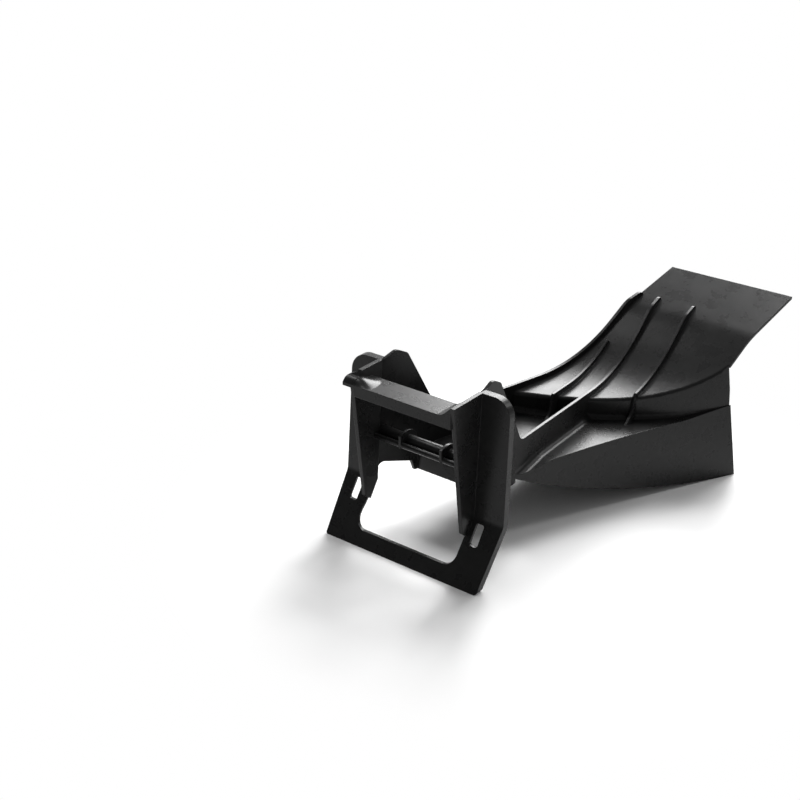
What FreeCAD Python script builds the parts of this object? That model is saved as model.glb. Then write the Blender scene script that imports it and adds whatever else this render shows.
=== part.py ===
import FreeCAD, Part
import math
import os

# Mulching plug for a walk-behind mower with a rear chute: one black moulding.
# Lengths are in millimetres. X runs across the frame, Y from the frame along the body, Z up.
# While it is built, Y is measured from the front edge of the foot. The finished plug is moved
# so that its origin is the centre of the foot face, which stands on the ground.

V = FreeCAD.Vector

# Cutters and forms run this far, well past the plug
REACH = 700.0

# Walls of the moulding
wall = 3.0
rib_wall = 3.0
side_wall = 3.5

# Frame: a plate with a rim round its outside to the rear, bent forward at its lower end
foot_width = 192.0
bend_width = 198.0
top_width = 194.0
frame_height = 191.0
frame_depth = 8.5
frame_corner = 19.0
bend_height = 59.0
bend_setback = 41.0
bend_radius = 14.0
top_setback = 50.0
foot_corner = 3.0

# Window of the frame, which is open at the top between the fins
window_sill = 14.0
window_left_low = -67.0
window_left_high = -61.5
window_right_low = 60.0
window_right_high = 61.5
window_shoulder = 50.0
window_corner = 12.0

# Slots through the posts, just below the bend
slot_left = -79.5
slot_right = 74.0
slot_width = 9.5
slot_low = 35.5
slot_high = 55.0
slot_corner = 2.5

# Fins in front of the posts
fin_wall = 4.5
fin_outer = 64.0
fin_top_reach = 5.0
fin_low_reach = 22.0
fin_low_height = 47.0
fin_heel_height = 41.0
fin_toe_radius = 4.0

# Handle shelf between the fins
shelf_drop = 11.0
shelf_front = 5.5
shelf_rear = 35.0
shelf_lip = 12.0
shelf_wall = 3.5
shelf_sweep = 13.0
shelf_overhang = 13.5

# Grip bar between the fins: a round bar with a finger lip before it and two oval stops
bar_setback = 50.0
bar_height = 112.0
bar_diameter = 12.8
lip_setback = 38.5
lip_height = 111.0
lip_diameter = 5.6
lip_web = 3.5
stop_half_gap = 24.0
stop_wall = 3.0
stop_depth = 33.0
stop_height = 25.0

# Side walls: outer faces in plan, at a reference behind the frame, and their slant along Y
wall_reference = 50.0
right_outer = 63.0
right_slant = -0.03
left_outer = -64.7
left_slant = 0.2416

# Gussets of the side walls, behind the frame
gusset_front = 71.0
gusset_rise = 5.0
gusset_rear = 84.5
gusset_fall = 2.0
dip_start = 125.0
dip_height = 109.0
gusset_crest_radius = 8.0
gusset_dip_radius = 8.0

# Lower edges of the gussets, from the frame to the toe before the floor's front
gusset_low_front = 77.0
gusset_low_fillet = 8.0
gusset_break_y = 89.5
gusset_break_z = 62.5
gusset_toe_y = 93.5

# Deflector sheet: a profile along Y that is the same all the way across
sheet_flat_y = 150.0
sheet_flat_z = 97.4
sheet_knee_y = 325.0
sheet_knee_z = 103.5
sheet_knee_radius = 190.0
sheet_shoulder_y = 397.0
sheet_shoulder_z = 156.0
sheet_shoulder_radius = 100.0
tongue_end = 469.4
tongue_height = 185.2
tongue_right = 185.8
tongue_root = 345.0
tongue_root_right = 164.6

# Ribs on the sheet
rib_height = 8.0
rib_flat_z = 108.0
rib_knee_y = 327.0
rib_knee_radius = 170.0
rib_shoulder_y = 396.0
rib_shoulder_z = 162.9
rib_shoulder_radius = 30.0
rib_tip_y = 420.5
rib_tip_z = 169.8
rib_crown_radius = 6.0
rib_foot_reach = 15.0
rib_foot_height = 11.0
rib_foot_rake = 3.0
rib_foot_radius = 14.0
rib_nose_drop = 2.0
rib_reference_y = 300.0
centre_rib_x = 25.0
centre_rib_lead = 10.0
centre_rib_end_y = 356.0
centre_rib_end_z = 126.0
outer_rib_x = 97.5
outer_rib_lead = 3.0

# Step between the floor of the channel and the sheet
step_centre_x = -115.5
step_centre_y = 553.8
step_radius = 340.1
step_rounding = 4.0

# Coves where the step and the right side wall stand on the floor and the ledge
cove_radius = 8.0

# Floor of the channel, which runs out into the ledge beside it
floor_top = 76.0
floor_front = 97.0
floor_front_low = 50.5
floor_front_radius = 6.0

# Ledge: its top face dips towards its front tip and rises at its far end
ledge_tip_y = 100.0
ledge_tip_z = 65.5
ledge_level_y = 160.0
ledge_rise_y = 320.0
ledge_rise_z = 79.0
ledge_end_y = 400.0
ledge_end_z = 90.0
ledge_radius = 60.0

# Outer skirt below the ledge
skirt_front_x = 65.0
skirt_front_y = 112.4
skirt_corner_x = 181.5
skirt_corner_y = 377.0
skirt_hollow_low = 4.2
skirt_hollow_ledge = 8.0
skirt_hollow_high = 6.0
skirt_draft = 3.34

# Ring wall at the blade chamber
ring_centre_x = 95.0
ring_centre_y = 630.0
ring_radius = 267.4
ring_draft = 2.4

# Lower edges of the two side walls
right_low_start_y = 114.0
right_low_start_z = 68.5
right_low_middle_y = 235.0
right_low_middle_z = 20.5
left_low_start_y = 57.0
left_low_start_z = 70.5
left_low_middle_y = 200.0
left_low_middle_z = 35.0
low_end_y = 362.0


def unit(a, b):
    """Unit vector of the plane from a to b, with its length."""
    length = math.hypot(b[0] - a[0], b[1] - a[1])
    return (b[0] - a[0]) / length, (b[1] - a[1]) / length


def outline(points, radii, place, closed=True):
    """Wire through plane points, with a tangent arc at each corner that has a radius."""
    count = len(points)
    entries, exits, arcs = [], [], []
    for i, point in enumerate(points):
        radius = radii.get(i, 0.0)
        if radius <= 0.0:
            entries.append(point)
            exits.append(point)
            arcs.append(None)
            continue
        back = unit(point, points[i - 1])
        ahead = unit(point, points[(i + 1) % count])
        half = math.acos(max(-1.0, min(1.0, back[0] * ahead[0] + back[1] * ahead[1]))) / 2
        reach = radius / math.tan(half)
        middle = (back[0] + ahead[0], back[1] + ahead[1])
        size = math.hypot(*middle)
        rise = radius / math.sin(half) - radius
        entries.append((point[0] + back[0] * reach, point[1] + back[1] * reach))
        exits.append((point[0] + ahead[0] * reach, point[1] + ahead[1] * reach))
        arcs.append((point[0] + middle[0] / size * rise, point[1] + middle[1] / size * rise))
    edges = []
    for i in range(count):
        if arcs[i]:
            arc = Part.Arc(place(*entries[i]), place(*arcs[i]), place(*exits[i]))
            edges.append(arc.toShape())
        if i < count - 1 or closed:
            start, end = place(*exits[i]), place(*entries[(i + 1) % count])
            edges.append(Part.LineSegment(start, end).toShape())
    return Part.Wire(edges)


def across(points, radii, start, end):
    """Solid with a YZ outline, extruded along X from start to end."""
    wire = outline(points, radii, lambda y, z: V(start, y, z))
    return Part.Face(wire).extrude(V(end - start, 0, 0))


def along(points, radii, start, end):
    """Solid with an XZ outline, extruded along Y from start to end."""
    wire = outline(points, radii, lambda x, z: V(x, start, z))
    return Part.Face(wire).extrude(V(0, end - start, 0))


def upright(points, radii, start, end):
    """Solid with an XY outline, extruded along Z from start to end."""
    wire = outline(points, radii, lambda x, y: V(x, y, start))
    return Part.Face(wire).extrude(V(0, 0, end - start))


def box(x0, x1, y0, y1, z0, z1):
    return Part.makeBox(x1 - x0, y1 - y0, z1 - z0, V(x0, y0, z0))


def offset_line(points, distance):
    """Plane points moved to the right of their path by a distance, with mitred corners."""
    moved = []
    for i, point in enumerate(points):
        before = unit(points[i - 1], point) if i else None
        after = unit(point, points[i + 1]) if i < len(points) - 1 else None
        first = before or after
        second = after or before
        normals = (first[1] + second[1], -first[0] - second[0])
        size = math.hypot(*normals)
        normal = (normals[0] / size, normals[1] / size)
        cosine = normal[0] * first[1] - normal[1] * first[0]
        moved.append((point[0] + normal[0] * distance / cosine, point[1] + normal[1] * distance / cosine))
    return moved


def frame_band(front, rear):
    """Layer of the bent frame plate between two depths behind its front face."""
    slope = bend_setback / bend_height
    lean = (top_setback - bend_setback) / (frame_height - bend_height)
    spine = [
        (-frame_depth * 2 * slope, -frame_depth * 2),
        (bend_setback, bend_height),
        (top_setback + frame_depth * 2 * lean, frame_height + frame_depth * 2),
    ]
    face = offset_line(spine, front)
    back = offset_line(spine, rear)
    radii = {1: bend_radius + front, 4: bend_radius + rear}
    return across(face + back[::-1], radii, -REACH, REACH)


def plate_y(height, depth=0.0):
    """Y of the frame plate at one height, at a depth behind its front face."""
    if height < bend_height:
        slope = bend_setback / bend_height
    else:
        slope = (top_setback - bend_setback) / (frame_height - bend_height)
    return bend_setback + (height - bend_height) * slope + depth * math.hypot(1, slope)


def frame_outline(inset):
    """Front view of the frame without its window, moved in by inset."""
    foot = foot_width / 2 - inset
    bend = bend_width / 2 - inset
    top = top_width / 2 - inset
    points = [
        (-foot, inset),
        (foot, inset),
        (bend, bend_height),
        (top, frame_height - inset),
        (-top, frame_height - inset),
        (-bend, bend_height),
    ]
    corner = frame_corner - inset
    radii = {0: foot_corner, 1: foot_corner, 3: corner, 4: corner}
    return along(points, radii, -REACH, REACH)


def frame_window():
    """Front view of the window, open at the top."""
    points = [
        (window_left_high, REACH),
        (window_left_high, window_shoulder),
        (window_left_low, window_sill),
        (window_right_low, window_sill),
        (window_right_high, window_shoulder),
        (window_right_high, REACH),
    ]
    return along(points, {2: window_corner, 3: window_corner}, -REACH, REACH)


def slots():
    """The two slots through the posts."""
    cutters = []
    for centre in (slot_left, slot_right):
        left, right = centre - slot_width / 2, centre + slot_width / 2
        points = [(left, slot_low), (right, slot_low), (right, slot_high), (left, slot_high)]
        cutters.append(along(points, {i: slot_corner for i in range(4)}, -REACH, REACH))
    return cutters[0].fuse(cutters[1])


def frame():
    """Bent plate with its window and slots, and a rim to the rear round its outside."""
    body = frame_band(0, frame_depth).common(frame_outline(0))
    pocket = frame_band(wall, frame_depth * 2).common(frame_outline(wall))
    return body.cut(pocket).cut(frame_window()).cut(slots())


def right_face(y, inset=0.0):
    """X of the right side wall's outer face, moved in by inset."""
    return right_outer + right_slant * (y - wall_reference) - inset


def left_face(y, inset=0.0):
    """X of the left side wall's outer face, moved in by inset."""
    return left_outer + left_slant * (y - wall_reference) + inset


def slanted_plate(face, thickness, start, end):
    """Upright plate in plan between two Y values, inward of an outer face."""
    points = [
        (face(start), start),
        (face(end), end),
        (face(end, thickness), end),
        (face(start, thickness), start),
    ]
    return upright(points, {}, -REACH, REACH)


def rib_crest(start, low):
    """YZ outline of a wall that ends as a rib on the sheet."""
    points = [
        (start, low),
        (start, rib_flat_z),
        (rib_knee_y, rib_flat_z),
        (rib_shoulder_y, rib_shoulder_z),
        (rib_tip_y, rib_tip_z),
        (rib_tip_y + rib_height / 2, low),
    ]
    return points, {2: rib_knee_radius, 3: rib_shoulder_radius, 4: rib_crown_radius}


def side_walls():
    """Both side walls: gusset behind the frame, then the low wall that rises as a rib."""
    low_end = dip_start + gusset_dip_radius * 4
    fillet_low = gusset_low_front - gusset_low_fillet * 2
    gusset_outline = [
        (plate_y(fillet_low, wall / 2), fillet_low),
        (plate_y(frame_height, wall / 2), frame_height - wall / 2),
        (plate_y(frame_height, frame_depth), frame_height),
        (gusset_front, frame_height + gusset_rise),
        (gusset_rear, frame_height - gusset_fall),
        (dip_start, dip_height),
        (low_end, rib_flat_z - rib_height / 2),
        (low_end, gusset_break_z),
        (floor_front + wall, gusset_break_z),
        (floor_front + wall, floor_front_low),
        (gusset_toe_y, floor_front_low),
        (gusset_break_y, gusset_break_z),
        (plate_y(gusset_low_front, wall), gusset_low_front),
        (plate_y(fillet_low, wall), fillet_low),
    ]
    radii = {3: gusset_crest_radius, 4: gusset_crest_radius, 5: gusset_dip_radius, 12: gusset_low_fillet}
    gusset = across(gusset_outline, radii, -REACH, REACH)
    low_wall = across(*rib_crest(dip_start, gusset_break_z), -REACH, REACH)
    side = gusset.fuse(low_wall)
    sides = []
    for face in (right_face, left_face):
        sides.append(side.common(slanted_plate(face, side_wall, 0, tongue_end)))
    return sides[0].fuse(sides[1])


def fins():
    """Fins that stand forward from the posts, seated half-way into the plate."""
    seat = wall / 2
    side = across(
        [
            (plate_y(frame_height, seat), frame_height),
            (fin_top_reach, frame_height),
            (fin_low_reach, fin_low_height),
            (plate_y(fin_heel_height, seat), fin_heel_height),
            (plate_y(bend_height, seat), bend_height),
        ],
        {2: fin_toe_radius},
        -REACH,
        REACH,
    )
    blades = []
    for sign in (-1, 1):
        inner, outer = sorted((sign * (fin_outer - fin_wall), sign * fin_outer))
        blades.append(side.common(box(inner, outer, -REACH, REACH, 0, REACH)))
    return blades[0].fuse(blades[1])


def shelf():
    """Handle shelf with a front lip, a hollow sweep up to the right fin and a horn at the left."""
    inner = fin_outer - fin_wall
    top = frame_height - shelf_drop
    under = top - shelf_wall
    sweep = [(-inner, under), (inner, under), (inner, frame_height), (inner - shelf_drop, top), (-inner, top)]
    plate = along(sweep, {3: shelf_sweep}, shelf_front, shelf_rear)
    lip = box(-inner, inner, shelf_front, shelf_front + shelf_wall, top - shelf_lip, under)
    tip = -inner - shelf_overhang
    horn_outline = [(-inner, under), (-inner, frame_height), (tip, top + shelf_drop / 2), (tip, under)]
    horn = along(horn_outline, {2: shelf_wall}, shelf_front, shelf_front + shelf_lip)
    return plate.fuse([lip, horn])


def grip_bar():
    """Bar between the fins, with its finger lip and the two oval stops."""
    end = fin_outer - wall / 2
    axis = V(1, 0, 0)
    bar = Part.makeCylinder(bar_diameter / 2, 2 * end, V(-end, bar_setback, bar_height), axis)
    lip = Part.makeCylinder(lip_diameter / 2, 2 * end, V(-end, lip_setback, lip_height), axis)
    web_low = lip_height - lip_diameter / 2
    web = box(-end, end, lip_setback, bar_setback, web_low, web_low + lip_web)
    middle = (lip_setback - lip_diameter / 2 + bar_setback + bar_diameter / 2) / 2
    stops = []
    for start in (-stop_half_gap - stop_wall, stop_half_gap):
        centre = V(start, middle, bar_height)
        oval = Part.Ellipse(centre + V(0, stop_depth / 2, 0), centre + V(0, 0, stop_height / 2), centre)
        stops.append(Part.Face(Part.Wire(oval.toShape())).extrude(V(stop_wall, 0, 0)))
    return bar.fuse([lip, web] + stops)


def under_sheet(inset):
    """Everything below the sheet's upper face, moved down by inset along its normal."""
    start = (sheet_flat_y, sheet_flat_z)
    knee = (sheet_knee_y, sheet_knee_z)
    shoulder = (sheet_shoulder_y, sheet_shoulder_z)
    slope = (tongue_height - sheet_shoulder_z) / (tongue_end - sheet_shoulder_y)
    end = (REACH, sheet_shoulder_z + slope * (REACH - sheet_shoulder_y))
    top = offset_line([start, knee, shoulder, end], inset)
    radii = {1: sheet_knee_radius + inset, 2: sheet_shoulder_radius - inset}
    return across(top + [(end[0], -REACH), (start[0], -REACH)], radii, -REACH, REACH)


def inside_left(inset):
    """Everything to the right of the left side wall's outer face."""
    points = [
        (left_face(0, inset), 0),
        (REACH, 0),
        (REACH, REACH),
        (left_face(REACH, inset), REACH),
    ]
    return upright(points, {}, -REACH, REACH)


def form_top():
    """Height at which the drafted forms end, above the sheet and the tongue."""
    return max(tongue_height, sheet_shoulder_z) + frame_depth * 2


def skirt_arc(inset, height, hollow):
    """Plan outline of all that lies inward of the skirt's hollow outer face at one height."""
    heading = unit((skirt_front_x, skirt_front_y), (skirt_corner_x, skirt_corner_y))
    shift = -inset - height * math.tan(math.radians(skirt_draft))
    chord = math.hypot(skirt_corner_x - skirt_front_x, skirt_corner_y - skirt_front_y)

    def point(along_chord, outward):
        base_x = skirt_front_x + heading[0] * along_chord + heading[1] * (outward + shift)
        base_y = skirt_front_y + heading[1] * along_chord - heading[0] * (outward + shift)
        return V(base_x, base_y, height)

    front, back = point(0, 0), point(chord, 0)
    first, last = point(-chord, 0), point(2 * chord, 0)
    far_first, far_last = point(-chord, -REACH), point(2 * chord, -REACH)
    bow = Part.Arc(front, point(chord / 2, -hollow), back).toShape()
    lines = [(back, last), (last, far_last), (far_last, far_first), (far_first, first), (first, front)]
    return Part.Wire([bow] + [Part.LineSegment(a, b).toShape() for a, b in lines])


def inside_skirt(inset):
    """Everything inward of the skirt's outer face, which leans in towards its top."""
    arcs = [
        skirt_arc(inset, -frame_depth, skirt_hollow_low),
        skirt_arc(inset, floor_top, skirt_hollow_ledge),
        skirt_arc(inset, form_top(), skirt_hollow_high),
    ]
    return Part.makeLoft(arcs, True, True)


def step_distance(x, y):
    """Distance in plan from the centre of the round step."""
    return math.hypot(x - step_centre_x, y - step_centre_y)


def inside_step(inset):
    """Everything behind the round step, which spreads in a cove where it stands on the floor."""
    def place(outward, height):
        return V(step_centre_x + step_radius + outward, step_centre_y, height)

    top = floor_top + cove_radius
    toe = floor_top - inset
    bow = (cove_radius + inset) * math.sqrt(0.5)
    cove = Part.Arc(place(-inset, top), place(cove_radius - bow, top - bow), place(cove_radius, toe))
    corners = [(cove_radius, toe), (cove_radius, -REACH), (-step_radius, -REACH), (-step_radius, REACH)]
    corners += [(-inset, REACH), (-inset, top)]
    edges = [cove.toShape()]
    for start, end in zip(corners, corners[1:]):
        edges.append(Part.LineSegment(place(*start), place(*end)).toShape())
    axis = V(step_centre_x, step_centre_y, 0)
    return Part.Face(Part.Wire(edges)).revolve(axis, V(0, 0, 1), 360)


def blade_room(outset):
    """The round blade chamber that the ring wall faces."""
    low, high = -frame_depth, form_top()
    spread = math.tan(math.radians(ring_draft))
    centre = V(ring_centre_x, ring_centre_y, low)
    radius = ring_radius + outset
    return Part.makeCone(radius + low * spread, radius + high * spread, high - low, centre)


def deflector_body(inset):
    """Form below the sheet, from the step to the ring wall, with the sheet's front edge rounded."""
    room = box(left_outer * 2, REACH, 0, tongue_end, -REACH, REACH)
    form = under_sheet(inset).common(inside_step(inset)).common(room)
    front_edge = []
    for edge in form.Edges:
        middle = edge.valueAt((edge.FirstParameter + edge.LastParameter) / 2)
        first, last = edge.Vertexes[0].Point, edge.Vertexes[-1].Point
        on_step = abs(step_distance(middle.x, middle.y) - step_radius + inset) < wall / 2
        level = round(math.hypot(last.x - first.x, last.y - first.y), 3) > 0
        if on_step and level and middle.z > floor_top + cove_radius + wall:
            front_edge.append(edge)
    form = form.makeFillet(step_rounding - inset, front_edge)
    return form.common(inside_skirt(inset)).common(inside_left(inset)).cut(blade_room(inset))


def ledge_form(inset):
    """Everything below the top face of the ledge."""
    top = offset_line(
        [
            (ledge_tip_y, ledge_tip_z),
            (ledge_level_y, floor_top),
            (ledge_rise_y, ledge_rise_z),
            (ledge_end_y, ledge_end_z),
        ],
        inset,
    )
    radii = {1: ledge_radius - inset, 2: ledge_radius + inset}
    return across(top + [(ledge_end_y, -REACH), (ledge_tip_y, -REACH)], radii, -REACH, REACH)


def channel_form(inset):
    """Everything below the channel's floor, between the two side walls."""
    front = floor_front + inset
    top = floor_top - inset
    points = [(front, -REACH), (front, top), (REACH, top), (REACH, -REACH)]
    slab = across(points, {1: floor_front_radius - inset}, -REACH, REACH)
    plan = upright(
        [
            (left_face(floor_front, inset), floor_front),
            (right_face(floor_front, inset), floor_front),
            (right_face(rib_reference_y, inset), rib_reference_y),
            (left_face(rib_reference_y, inset), rib_reference_y),
        ],
        {},
        -REACH,
        REACH,
    )
    return slab.common(plan)


def floor_body(inset):
    """Form below the channel's floor and the ledge, from the floor's front to the ring wall."""
    ledge = ledge_form(inset).common(inside_skirt(inset)).common(inside_left(inset))
    return ledge.cut(blade_room(inset)).fuse(channel_form(inset).cut(blade_room(inset)))


def coved_ledge():
    """The ledge beside the right side wall, with the cove where the wall stands on it."""
    beside = upright(
        [(right_face(0), 0), (right_face(REACH), REACH), (REACH, REACH), (REACH, 0)],
        {},
        -REACH,
        REACH,
    )
    behind_wall = box(-REACH, REACH, 0, ledge_end_y, -REACH, REACH).cut(beside)
    form = ledge_form(0).fuse(behind_wall).removeSplitter()
    foot = []
    for edge in form.Edges:
        middle = edge.valueAt((edge.FirstParameter + edge.LastParameter) / 2)
        on_wall = abs(middle.x - right_face(middle.y)) < wall / 2
        if on_wall and ledge_tip_y < middle.y < ledge_end_y and abs(middle.z) < ledge_end_z:
            foot.append(edge)
    form = form.makeFillet(cove_radius, foot).common(beside)
    return form.common(inside_skirt(0)).cut(blade_room(0))


def below_edges():
    """All that lies under the lower edges of the side walls and the floor's front wall."""
    def low_side(start_y, start_z, middle_y, middle_z, x0, x1):
        place = lambda y, z: V(x0, y, z)
        bow = Part.Arc(place(start_y, start_z), place(middle_y, middle_z), place(low_end_y, 0)).toShape()
        corners = [(low_end_y, 0), (REACH, 0), (REACH, -REACH), (-REACH, -REACH), (-REACH, start_z), (start_y, start_z)]
        lines = [Part.LineSegment(place(*a), place(*b)).toShape() for a, b in zip(corners, corners[1:])]
        return Part.Face(Part.Wire([bow] + lines)).extrude(V(x1 - x0, 0, 0))

    middle = left_face(low_end_y) + side_wall + rib_height
    right = low_side(right_low_start_y, right_low_start_z, right_low_middle_y, right_low_middle_z, middle, REACH)
    left = low_side(left_low_start_y, left_low_start_z, left_low_middle_y, left_low_middle_z, -REACH, middle)
    return right.fuse(left)


def front_wall():
    """Cross wall at the floor's front, which hangs below the side walls."""
    points = [
        (left_face(floor_front, wall / 2), floor_front),
        (right_face(floor_front, wall / 2), floor_front),
        (right_face(floor_front, wall / 2), floor_front + wall),
        (left_face(floor_front, wall / 2), floor_front + wall),
    ]
    return upright(points, {}, floor_front_low, floor_top - floor_front_radius)


def tongue():
    """The sheet where it runs on over the blade chamber, between the wall line and the skirt's corner."""
    slab = under_sheet(0).cut(under_sheet(wall))
    plan = upright(
        [
            (left_face(tongue_root), tongue_root),
            (tongue_root_right, tongue_root),
            (tongue_right, tongue_end),
            (left_face(tongue_end), tongue_end),
        ],
        {},
        -REACH,
        REACH,
    )
    return slab.common(plan).common(blade_room(0).fuse(deflector_body(0)))


def step_at(x):
    """Y of the step's face at one X."""
    return step_centre_y - math.sqrt(step_radius ** 2 - (x - step_centre_x) ** 2)


def sheet_rib(x, lead):
    """Rib on the sheet, whose front edge stands before the step and spreads into a foot."""
    front = step_at(x) - lead
    toe = front - rib_foot_rake - rib_foot_reach
    edge = [
        (toe, floor_top - wall),
        (toe, floor_top),
        (front - rib_foot_rake, floor_top + rib_foot_height),
        (front, rib_flat_z - rib_nose_drop),
        (front + REACH, rib_flat_z - rib_nose_drop + REACH),
        (front + REACH, floor_top - wall),
    ]
    behind_edge = across(edge, {2: rib_foot_radius, 3: rib_crown_radius}, -REACH, REACH)
    side = across(*rib_crest(dip_start, floor_top - wall), -REACH, REACH).common(behind_edge)

    def face(y, inset=0.0):
        return x + rib_wall / 2 + right_slant * (y - rib_reference_y) - inset

    return side.common(slanted_plate(face, rib_wall, 0, tongue_end))


def sheet_ribs():
    """The centre rib, which sinks into the sheet half-way up, and the outer rib."""
    end = [
        (0, -REACH),
        (0, REACH),
        (centre_rib_end_y + centre_rib_end_z - REACH, REACH),
        (centre_rib_end_y + centre_rib_end_z + REACH, -REACH),
    ]
    centre = sheet_rib(centre_rib_x, centre_rib_lead).common(across(end, {}, -REACH, REACH))
    return centre.fuse(sheet_rib(outer_rib_x, outer_rib_lead))


def mulching_plug():
    shell = deflector_body(0).fuse([floor_body(0), coved_ledge()]).cut(below_edges())
    hollow = deflector_body(wall).fuse(floor_body(wall))
    skin = deflector_body(wall / 2).fuse(floor_body(wall / 2))
    tongue_skin = under_sheet(wall / 2).common(box(-REACH, REACH, tongue_root, REACH, -REACH, REACH))
    ribs = side_walls().fuse(sheet_ribs()).cut(skin).cut(tongue_skin)
    body = shell.cut(hollow)
    plug = body.fuse([front_wall(), tongue(), ribs, frame(), fins(), shelf(), grip_bar()])
    plug = plug.removeSplitter()
    foot_depth = frame_depth / math.cos(math.atan2(bend_setback, bend_height))
    plug.translate(V(0, -foot_depth / 2, 0))
    return plug


os.makedirs("parts", exist_ok=True)
plug = mulching_plug()
plug.exportStep("parts/mulching_plug.step")
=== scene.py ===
import math

import bmesh
import bpy
from mathutils import Matrix, Vector


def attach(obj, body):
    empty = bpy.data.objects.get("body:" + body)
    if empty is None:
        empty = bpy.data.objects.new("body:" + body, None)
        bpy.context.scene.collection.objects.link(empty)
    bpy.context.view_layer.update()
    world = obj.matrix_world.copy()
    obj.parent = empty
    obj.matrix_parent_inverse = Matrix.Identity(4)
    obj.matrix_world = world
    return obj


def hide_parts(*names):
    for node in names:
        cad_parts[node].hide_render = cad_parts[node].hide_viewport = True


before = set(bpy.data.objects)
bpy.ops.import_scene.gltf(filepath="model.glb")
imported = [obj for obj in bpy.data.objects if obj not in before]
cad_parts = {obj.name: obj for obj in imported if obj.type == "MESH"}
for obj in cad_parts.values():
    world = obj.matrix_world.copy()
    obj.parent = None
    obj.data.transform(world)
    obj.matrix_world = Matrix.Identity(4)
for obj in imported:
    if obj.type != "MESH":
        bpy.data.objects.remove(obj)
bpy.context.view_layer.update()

# Lengths are in metres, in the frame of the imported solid.

# Handle shelf, left fin and horn, as the solid has them
FIN_INNER = -0.0595
HORN_TIP = -0.0745
SHELF_TOP = 0.180
SHELF_FRONT = 0.0003
SHELF_REAR = 0.0298

# Soft rise of the shelf at the left fin: its height, its length along the shelf, how far behind the
# shelf's front edge it is highest, and its divisions
RISE_HEIGHT = 0.0055
RISE_REACH = 0.024
RISE_CREST = 0.009
RISE_STEPS = 18

# Behind the rise the fin goes up to its own height
FIN_STEP_FRONT = 0.0095
FIN_STEP_REAR = 0.0150
FIN_STEP_TOP = 0.1915

# Finger stops on the grip bar, and the box that holds all of one stop
STOP_GAP = 0.024
STOP_WALL = 0.003
STOP_FRONT = 0.020
STOP_REAR = 0.062
STOP_LOW = 0.095
STOP_HIGH = 0.130

# Grip bar and its finger lip, where the stops end
BAR_FRONT = 0.0378
BAR_UNDERSIDE = 0.1055
LIP_FRONT = 0.0305
LIP_UNDERSIDE = 0.1081

# How deep a joined form is sunk into the moulding, how far a cutter stands out of it, and how near
# two corners are one
SEAT = 0.0004
CLEAR = 0.003
MERGE = 1e-6

# A line between two faces shows where they turn by more than this
CREASE_ANGLE = math.radians(28)

# Camera: above the right front of the frame, as in the photograph
EYE = Vector((0.79448, -1.003395, 0.81317))
HEADING = math.radians(38.39)
TILT = math.radians(26.25)
ROLL = math.radians(0.22)
FOCAL_PIXELS = 1490.16
IMAGE_PIXELS = 800.0
SENSOR = 36.0
FAR_CLIP = 20.0

# Moulded plastic: tone and roughness between its two kinds of patch, and its specular level
BLACK_LOW = 0.0105
BLACK_HIGH = 0.0145
GLOSS_LOW = 0.26
GLOSS_HIGH = 0.30
GLOSS_LEVEL = 0.2
PLASTIC_IOR = 1.49

# Patches of flow mottling and grain of the mould, as noise scales for each metre
MOTTLE_SCALE = 55.0
GRAIN_SCALE = 1100.0
GRAIN_STRENGTH = 0.25
GRAIN_DEPTH = 0.0002
EDGE_RADIUS = 0.0009

# Floor: the shadow is kept within one radius of the plug's middle, and all is white past another
FLOOR_HALF = 6.0
PAPER_LOW = 0.955
PAPER_HIGH = 0.965
PAPER_SCALE = 6.0
SHADOW_CENTRE = (0.06, 0.15, 0.0)
SHADOW_REACH = 0.24
WHITE_REACH = 0.40

# Softboxes: low behind the plug at the left, high behind it, slim at the right, small at the left
LIGHT_AIM = (0.05, 0.25, 0.05)
BACK_SOFTBOX = (-0.85, 2.10, 1.40)
BACK_SIZE = (1.0, 1.3)
BACK_POWER = 60.0
TOP_SOFTBOX = (-0.10, 1.65, 1.95)
TOP_SIZE = (0.85, 0.85)
TOP_POWER = 46.0
EDGE_SOFTBOX = (1.13, 1.77, 1.50)
EDGE_SIZE = (0.35, 0.9)
EDGE_POWER = 8.0
LEFT_SOFTBOX = (-1.20, 0.10, 1.75)
LEFT_SIZE = (0.5, 0.6)
LEFT_POWER = 9.0

# World: heading and reach of the white sweep behind, the dim room elsewhere, and the even fill
SWEEP_HEADING = (-0.55, 0.84, -0.35)
SWEEP_FROM = 0.2
SWEEP_TO = 0.7
SWEEP_WHITE = 1.0
ROOM = 0.17
FILL = 0.22


def new_material(name):
    material = bpy.data.materials.new(name)
    material.use_nodes = True
    tree = material.node_tree
    tree.nodes.clear()
    return material, tree


def link(tree, source, target):
    tree.links.new(source, target)


def any_ray(tree, *kinds):
    """1 for a light path of any of the kinds named, 0 for the others."""
    path = tree.nodes.new("ShaderNodeLightPath")
    found = path.outputs[kinds[0]]
    for kind in kinds[1:]:
        either = tree.nodes.new("ShaderNodeMath")
        either.operation = "MAXIMUM"
        link(tree, found, either.inputs[0])
        link(tree, path.outputs[kind], either.inputs[1])
        found = either.outputs["Value"]
    return found


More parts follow.
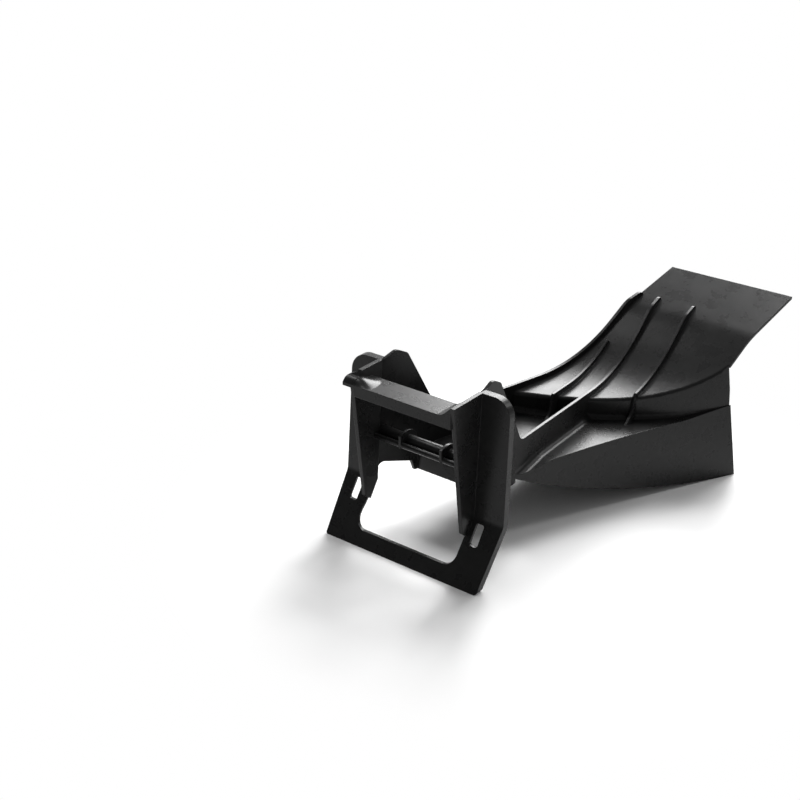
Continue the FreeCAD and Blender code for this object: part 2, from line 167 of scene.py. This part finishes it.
def place_camera():
    level = math.cos(TILT)
    forward = Vector((-math.sin(HEADING) * level, math.cos(HEADING) * level, -math.sin(TILT)))
    right = Vector((math.cos(HEADING), math.sin(HEADING), 0.0))
    down = forward.cross(right)
    turned_right = right * math.cos(ROLL) + down * math.sin(ROLL)
    turned_down = down * math.cos(ROLL) - right * math.sin(ROLL)
    data = bpy.data.cameras.new("camera")
    data.sensor_fit = "HORIZONTAL"
    data.sensor_width = SENSOR
    data.lens = FOCAL_PIXELS / IMAGE_PIXELS * SENSOR
    data.clip_end = FAR_CLIP
    camera = bpy.data.objects.new("camera", data)
    axes = Matrix((turned_right, -turned_down, -forward)).transposed()
    camera.matrix_world = Matrix.Translation(EYE) @ axes.to_4x4()
    bpy.context.scene.collection.objects.link(camera)
    bpy.context.scene.camera = camera


def moulded_black():
    """Black moulded plastic: softly rounded edges, a fine mould grain and faint flow mottling."""
    material, tree = new_material("moulded_black")
    nodes = tree.nodes
    out = nodes.new("ShaderNodeOutputMaterial")
    surface = nodes.new("ShaderNodeBsdfPrincipled")
    place = nodes.new("ShaderNodeTexCoord")
    surface.inputs["IOR"].default_value = PLASTIC_IOR
    surface.inputs["Specular IOR Level"].default_value = GLOSS_LEVEL
    link(tree, surface.outputs["BSDF"], out.inputs["Surface"])

    mottle = nodes.new("ShaderNodeTexNoise")
    mottle.inputs["Scale"].default_value = MOTTLE_SCALE
    mottle.inputs["Detail"].default_value = 4.0
    mottle.inputs["Roughness"].default_value = 0.6
    link(tree, place.outputs["Object"], mottle.inputs["Vector"])

    grain = nodes.new("ShaderNodeTexNoise")
    grain.inputs["Scale"].default_value = GRAIN_SCALE
    grain.inputs["Detail"].default_value = 3.0
    link(tree, place.outputs["Object"], grain.inputs["Vector"])

    tone = nodes.new("ShaderNodeValToRGB")
    tone.color_ramp.elements[0].position = 0.3
    tone.color_ramp.elements[0].color = (BLACK_LOW, BLACK_LOW, BLACK_LOW, 1)
    tone.color_ramp.elements[1].position = 0.72
    tone.color_ramp.elements[1].color = (BLACK_HIGH, BLACK_HIGH, BLACK_HIGH, 1)
    link(tree, mottle.outputs["Fac"], tone.inputs["Fac"])
    link(tree, tone.outputs["Color"], surface.inputs["Base Color"])

    gloss = nodes.new("ShaderNodeMapRange")
    gloss.inputs["From Min"].default_value = 0.3
    gloss.inputs["From Max"].default_value = 0.7
    gloss.inputs["To Min"].default_value = GLOSS_LOW
    gloss.inputs["To Max"].default_value = GLOSS_HIGH
    link(tree, mottle.outputs["Fac"], gloss.inputs["Value"])
    link(tree, gloss.outputs["Result"], surface.inputs["Roughness"])

    soft_edge = nodes.new("ShaderNodeBevel")
    soft_edge.samples = 6
    soft_edge.inputs["Radius"].default_value = EDGE_RADIUS
    relief = nodes.new("ShaderNodeBump")
    relief.inputs["Strength"].default_value = GRAIN_STRENGTH
    relief.inputs["Distance"].default_value = GRAIN_DEPTH
    link(tree, grain.outputs["Fac"], relief.inputs["Height"])
    link(tree, soft_edge.outputs["Normal"], relief.inputs["Normal"])
    link(tree, relief.outputs["Normal"], surface.inputs["Normal"])
    return material


def floor_white():
    """White floor paper: it keeps the shadow near the plug and turns plain white further out."""
    material, tree = new_material("floor_white")
    nodes = tree.nodes
    out = nodes.new("ShaderNodeOutputMaterial")
    paper = nodes.new("ShaderNodeBsdfDiffuse")
    place = nodes.new("ShaderNodeTexCoord")
    grain = nodes.new("ShaderNodeTexNoise")
    grain.inputs["Scale"].default_value = PAPER_SCALE
    tone = nodes.new("ShaderNodeValToRGB")
    tone.color_ramp.elements[0].color = (PAPER_LOW, PAPER_LOW, PAPER_LOW, 1)
    tone.color_ramp.elements[1].color = (PAPER_HIGH, PAPER_HIGH, PAPER_HIGH, 1)
    link(tree, place.outputs["Object"], grain.inputs["Vector"])
    link(tree, grain.outputs["Fac"], tone.inputs["Fac"])
    link(tree, tone.outputs["Color"], paper.inputs["Color"])

    middle = nodes.new("ShaderNodeVectorMath")
    middle.operation = "DISTANCE"
    middle.inputs[1].default_value = SHADOW_CENTRE
    link(tree, place.outputs["Object"], middle.inputs[0])
    fade = nodes.new("ShaderNodeMapRange")
    fade.interpolation_type = "SMOOTHSTEP"
    fade.inputs["From Min"].default_value = SHADOW_REACH
    fade.inputs["From Max"].default_value = WHITE_REACH
    link(tree, middle.outputs["Value"], fade.inputs["Value"])

    seen = any_ray(tree, "Is Camera Ray", "Is Transmission Ray", "Is Glossy Ray")
    share = nodes.new("ShaderNodeMath")
    share.operation = "MULTIPLY"
    link(tree, fade.outputs["Result"], share.inputs[0])
    link(tree, seen, share.inputs[1])
    white = nodes.new("ShaderNodeEmission")
    mix = nodes.new("ShaderNodeMixShader")
    link(tree, share.outputs["Value"], mix.inputs["Fac"])
    link(tree, paper.outputs["BSDF"], mix.inputs[1])
    link(tree, white.outputs["Emission"], mix.inputs[2])
    link(tree, mix.outputs["Shader"], out.inputs["Surface"])
    return material


def lay_floor():
    mesh = bpy.data.meshes.new("floor")
    turns = ((-1, -1), (1, -1), (1, 1), (-1, 1))
    corners = [(x * FLOOR_HALF, y * FLOOR_HALF, 0) for x, y in turns]
    mesh.from_pydata(corners, [], [(0, 1, 2, 3)])
    mesh.materials.append(floor_white())
    floor = bpy.data.objects.new("floor", mesh)
    bpy.context.scene.collection.objects.link(floor)


def hang_softbox(name, place, aim, width, height, power):
    data = bpy.data.lights.new(name, "AREA")
    data.shape = "RECTANGLE"
    data.size = width
    data.size_y = height
    data.energy = power
    lamp = bpy.data.objects.new(name, data)
    direction = Vector(aim) - Vector(place)
    turn = direction.to_track_quat("-Z", "Y").to_matrix().to_4x4()
    lamp.matrix_world = Matrix.Translation(place) @ turn
    bpy.context.scene.collection.objects.link(lamp)


def light_studio():
    hang_softbox("back_softbox", BACK_SOFTBOX, LIGHT_AIM, *BACK_SIZE, BACK_POWER)
    hang_softbox("top_softbox", TOP_SOFTBOX, LIGHT_AIM, *TOP_SIZE, TOP_POWER)
    hang_softbox("edge_softbox", EDGE_SOFTBOX, LIGHT_AIM, *EDGE_SIZE, EDGE_POWER)
    hang_softbox("left_softbox", LEFT_SOFTBOX, LIGHT_AIM, *LEFT_SIZE, LEFT_POWER)


def studio_world():
    """White for the camera, a white sweep behind and a dim room in front for gloss, an even fill."""
    world = bpy.data.worlds.new("studio")
    world.use_nodes = True
    tree = world.node_tree
    tree.nodes.clear()
    out = tree.nodes.new("ShaderNodeOutputWorld")
    direction = tree.nodes.new("ShaderNodeTexCoord")
    facing = tree.nodes.new("ShaderNodeVectorMath")
    facing.operation = "DOT_PRODUCT"
    facing.inputs[1].default_value = SWEEP_HEADING
    link(tree, direction.outputs["Generated"], facing.inputs[0])
    sweep = tree.nodes.new("ShaderNodeMapRange")
    sweep.inputs["From Min"].default_value = SWEEP_FROM
    sweep.inputs["From Max"].default_value = SWEEP_TO
    sweep.inputs["To Min"].default_value = ROOM
    sweep.inputs["To Max"].default_value = SWEEP_WHITE
    link(tree, facing.outputs["Value"], sweep.inputs["Value"])

    glossy = tree.nodes.new("ShaderNodeMix")
    glossy.inputs["A"].default_value = FILL
    link(tree, any_ray(tree, "Is Glossy Ray"), glossy.inputs["Factor"])
    link(tree, sweep.outputs["Result"], glossy.inputs["B"])
    strength = tree.nodes.new("ShaderNodeMix")
    strength.inputs["B"].default_value = 1.0
    seen = any_ray(tree, "Is Camera Ray", "Is Transmission Ray")
    link(tree, seen, strength.inputs["Factor"])
    link(tree, glossy.outputs["Result"], strength.inputs["A"])
    light = tree.nodes.new("ShaderNodeBackground")
    light.inputs["Color"].default_value = (1, 1, 1, 1)
    link(tree, strength.outputs["Result"], light.inputs["Strength"])
    link(tree, light.outputs["Background"], out.inputs["Surface"])
    bpy.context.scene.world = world


def closed_solid(name, corners, faces):
    """Tool solid from its corners and faces, with every face turned outwards."""
    mesh = bpy.data.meshes.new(name)
    mesh.from_pydata(corners, [], faces)
    solid = bmesh.new()
    solid.from_mesh(mesh)
    bmesh.ops.recalc_face_normals(solid, faces=solid.faces)
    solid.to_mesh(mesh)
    solid.free()
    tool = bpy.data.objects.new(name, mesh)
    bpy.context.scene.collection.objects.link(tool)
    return tool


def prism(name, outline, start, end):
    """Tool solid: an outline in Y and Z drawn out along X between two places."""
    count = len(outline)
    corners = [(x, y, z) for x in (start, end) for y, z in outline]
    faces = [tuple(range(count)), tuple(range(count, 2 * count))]
    faces += [(i, (i + 1) % count, (i + 1) % count + count, i + count) for i in range(count)]
    return closed_solid(name, corners, faces)


def rise_share(depth):
    """Share of the rise's height at a depth behind the shelf's front edge."""
    if depth < RISE_CREST:
        return math.sin(math.radians(90) * max(depth, 0.0) / RISE_CREST)
    fall = min((depth - RISE_CREST) / (SHELF_REAR - SHELF_FRONT - RISE_CREST), 1.0)
    return 0.5 + 0.5 * math.cos(math.pi * fall)


def shelf_rise():
    """Soft rise of the handle shelf towards the left fin: a grid of corners above, one below it."""
    count = RISE_STEPS + 1
    low = SHELF_TOP - 3 * SEAT
    corners = []
    for underside in (False, True):
        for i in range(count):
            along = i / RISE_STEPS
            x = FIN_INNER - SEAT + (RISE_REACH + SEAT) * along
            for j in range(count):
                y = SHELF_FRONT + SEAT / 2 + (SHELF_REAR - SHELF_FRONT) * j / RISE_STEPS
                share = (0.5 + 0.5 * math.cos(math.pi * along)) * rise_share(y - SHELF_FRONT)
                top = SHELF_TOP - SEAT / 2 + (RISE_HEIGHT + SEAT / 2) * share
                corners.append((x, y, low if underside else top))
    under = count * count
    faces = []
    for i in range(RISE_STEPS):
        for j in range(RISE_STEPS):
            a = i * count + j
            faces.append((a, a + count, a + count + 1, a + 1))
            faces.append((a + under, a + under + 1, a + under + count + 1, a + under + count))
    last = RISE_STEPS * count
    for i in range(RISE_STEPS):
        front, beyond = i * count, (i + 1) * count
        sides = ((i, i + 1), (last + i, last + i + 1))
        ends = ((front, beyond), (front + RISE_STEPS, beyond + RISE_STEPS))
        for a, b in sides + ends:
            faces.append((a, b, b + under, a + under))
    return closed_solid("shelf_rise", corners, faces)


def horn_front():
    """What the soft front of the rise takes off the left fin and the horn."""
    curve = []
    for step in range(RISE_STEPS + 1):
        depth = RISE_CREST * step / RISE_STEPS
        height = SHELF_TOP + (RISE_HEIGHT + SEAT) * rise_share(depth)
        curve.append((SHELF_FRONT + depth, height))
    curve += [(FIN_STEP_FRONT, curve[-1][1]), (FIN_STEP_REAR, FIN_STEP_TOP)]
    ahead = SHELF_FRONT - CLEAR
    above = FIN_STEP_TOP + CLEAR
    outline = [(ahead, SHELF_TOP)] + curve + [(FIN_STEP_REAR, above), (ahead, above)]
    return prism("horn_front", outline, HORN_TIP, FIN_INNER + SEAT / 4)


def stop_trim(name, start):
    """What a finger stop lacks before the finger lip and below the lip and the bar."""
    outline = [
        (STOP_FRONT, STOP_LOW),
        (STOP_REAR, STOP_LOW),
        (STOP_REAR, BAR_UNDERSIDE),
        (BAR_FRONT, BAR_UNDERSIDE),
        (BAR_FRONT, LIP_UNDERSIDE),
        (LIP_FRONT, LIP_UNDERSIDE),
        (LIP_FRONT, STOP_HIGH),
        (STOP_FRONT, STOP_HIGH),
    ]
    return prism(name, outline, start - SEAT, start + STOP_WALL + SEAT)


def settle(piece):
    """The piece's modifiers worked into a plain mesh."""
    bpy.context.view_layer.update()
    graph = bpy.context.evaluated_depsgraph_get()
    shape = bpy.data.meshes.new_from_object(piece.evaluated_get(graph))
    piece.modifiers.clear()
    before = piece.data
    piece.data = shape
    bpy.data.meshes.remove(before)


def combine(body, tool, operation):
    """The body with a tool solid joined on or cut away; the tool is used up."""
    change = body.modifiers.new(tool.name, "BOOLEAN")
    change.object = tool
    change.operation = operation
    change.solver = "EXACT"
    settle(body)
    bpy.data.objects.remove(tool)


def smooth_faces(plug):
    """Curved faces shaded smoothly and flat ones flat, with a line only at the moulding's edges."""
    mesh = plug.data
    if "custom_normal" in mesh.attributes:
        mesh.attributes.remove(mesh.attributes["custom_normal"])
    mesh.polygons.foreach_set("use_smooth", [True] * len(mesh.polygons))
    mesh.set_sharp_from_angle(angle=CREASE_ANGLE)
    weigh = plug.modifiers.new("face_weights", "WEIGHTED_NORMAL")
    weigh.keep_sharp = True
    weigh.weight = 100
    settle(plug)


def finish_plug():
    """The moulding as seen: the solid, with the rise and the trimmed stops it lacks, in black."""
    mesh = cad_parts["mulching_plug"].data.copy()
    merged = bmesh.new()
    merged.from_mesh(mesh)
    bmesh.ops.remove_doubles(merged, verts=merged.verts, dist=MERGE)
    merged.to_mesh(mesh)
    merged.free()
    mesh.name = "plug_moulding"
    plug = bpy.data.objects.new("plug_moulding", mesh)
    bpy.context.scene.collection.objects.link(plug)
    combine(plug, horn_front(), "DIFFERENCE")
    combine(plug, shelf_rise(), "UNION")
    for side, start in (("left", -STOP_GAP - STOP_WALL), ("right", STOP_GAP)):
        combine(plug, stop_trim("stop_trim_" + side, start), "DIFFERENCE")
    smooth_faces(plug)
    plug.data.materials.clear()
    plug.data.materials.append(moulded_black())
    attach(plug, "root")
    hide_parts("mulching_plug")


bpy.context.scene.view_settings.view_transform = "Standard"
place_camera()
lay_floor()
light_studio()
studio_world()

finish_plug()
